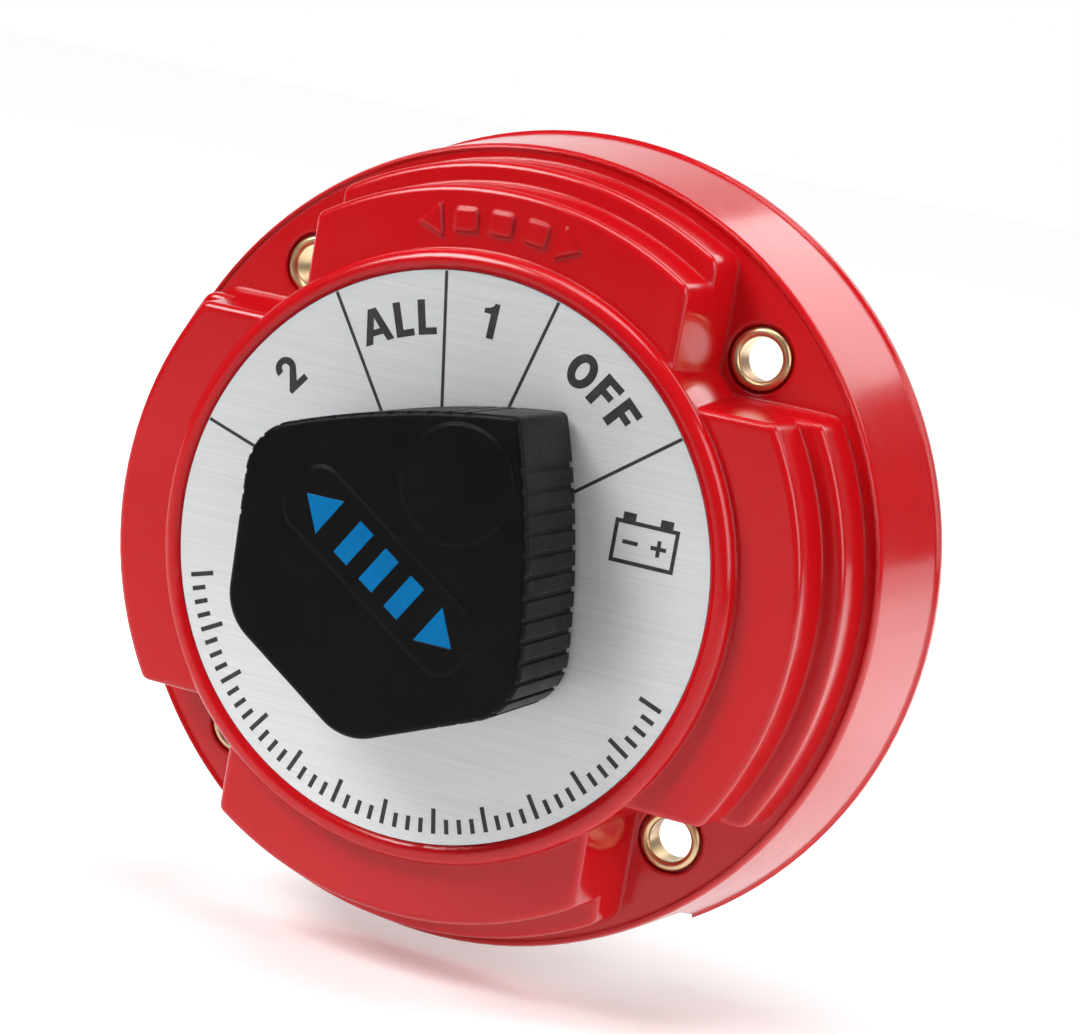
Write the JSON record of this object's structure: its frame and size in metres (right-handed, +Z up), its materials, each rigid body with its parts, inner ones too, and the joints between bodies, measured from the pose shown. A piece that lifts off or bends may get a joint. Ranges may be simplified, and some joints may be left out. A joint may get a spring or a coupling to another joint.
{
  "type": "battery switch",
  "caption": "Surface-mounted marine battery selector switch: round red housing with raised pads, brass eyelets, a round dial plate and a ribbed pointer knob.",
  "frame": {"origin": "centre of the rear rim's plane, where the switch stands on its panel", "axes": "the face with the knob looks along -Y, +Y points into the panel, +Z is up with the cable entry at the bottom, +X is to the right seen from the front"},
  "size_m": [0.13, 0.0651, 0.1274],
  "materials": {
    "housing_plastic": "glossy moulded red plastic",
    "label_aluminium": "fine brushed dial plate with dark print",
    "bushing_brass": "turned brass",
    "eyelet_brass": "pressed brass with a rolled lip",
    "steel": "stainless steel",
    "spring_steel": "spring steel",
    "phenolic": "dark moulded phenolic",
    "rubber": "black seal rubber",
    "copper_alloy": "copper contact strip",
    "stud_copper": "tin-plated copper",
    "contact_silver": "silver alloy",
    "nylon": "natural nylon",
    "knob_plastic": "black plastic, fine grain",
    "inlay_blue": "blue paint filling"
  },
  "bodies": {
    "housing_body": {"housing": "housing_plastic", "label_plate": "label_aluminium", "shaft_bushing": "bushing_brass", "stop_pin": "steel", "detent_spring": "spring_steel", "contact_base": "phenolic", "base_gasket": "rubber", "base_screws": "steel", "contact_1": "copper_alloy", "contact_2": "copper_alloy", "contact_common": "copper_alloy", "stud_1": "stud_copper", "stud_2": "stud_copper", "stud_common": "stud_copper", "base_nuts": "stud_copper", "flat_washers": "steel", "lock_washers": "spring_steel", "terminal_nuts": "steel", "eyelets": "eyelet_brass"},
    "knob_body": {"knob": "knob_plastic", "knob_inlay": "inlay_blue", "knob_insert": "bushing_brass", "knob_screw": "steel", "drive_shaft": "steel", "shaft_seal": "rubber", "thrust_washer": "nylon", "rotor": "nylon", "rotor_clip": "spring_steel", "disc_spring": "spring_steel", "moving_contact": "copper_alloy", "contact_tips": "contact_silver"}
  },
  "joints": [
    {"name": "knob_turn", "type": "hinge", "parent": "housing_body", "child": "knob_body", "pos_m": [0, 0, 0], "axis": [0, -1, 0], "range_deg": [0, 90], "deforming": ["detent_spring"]}
  ]
}
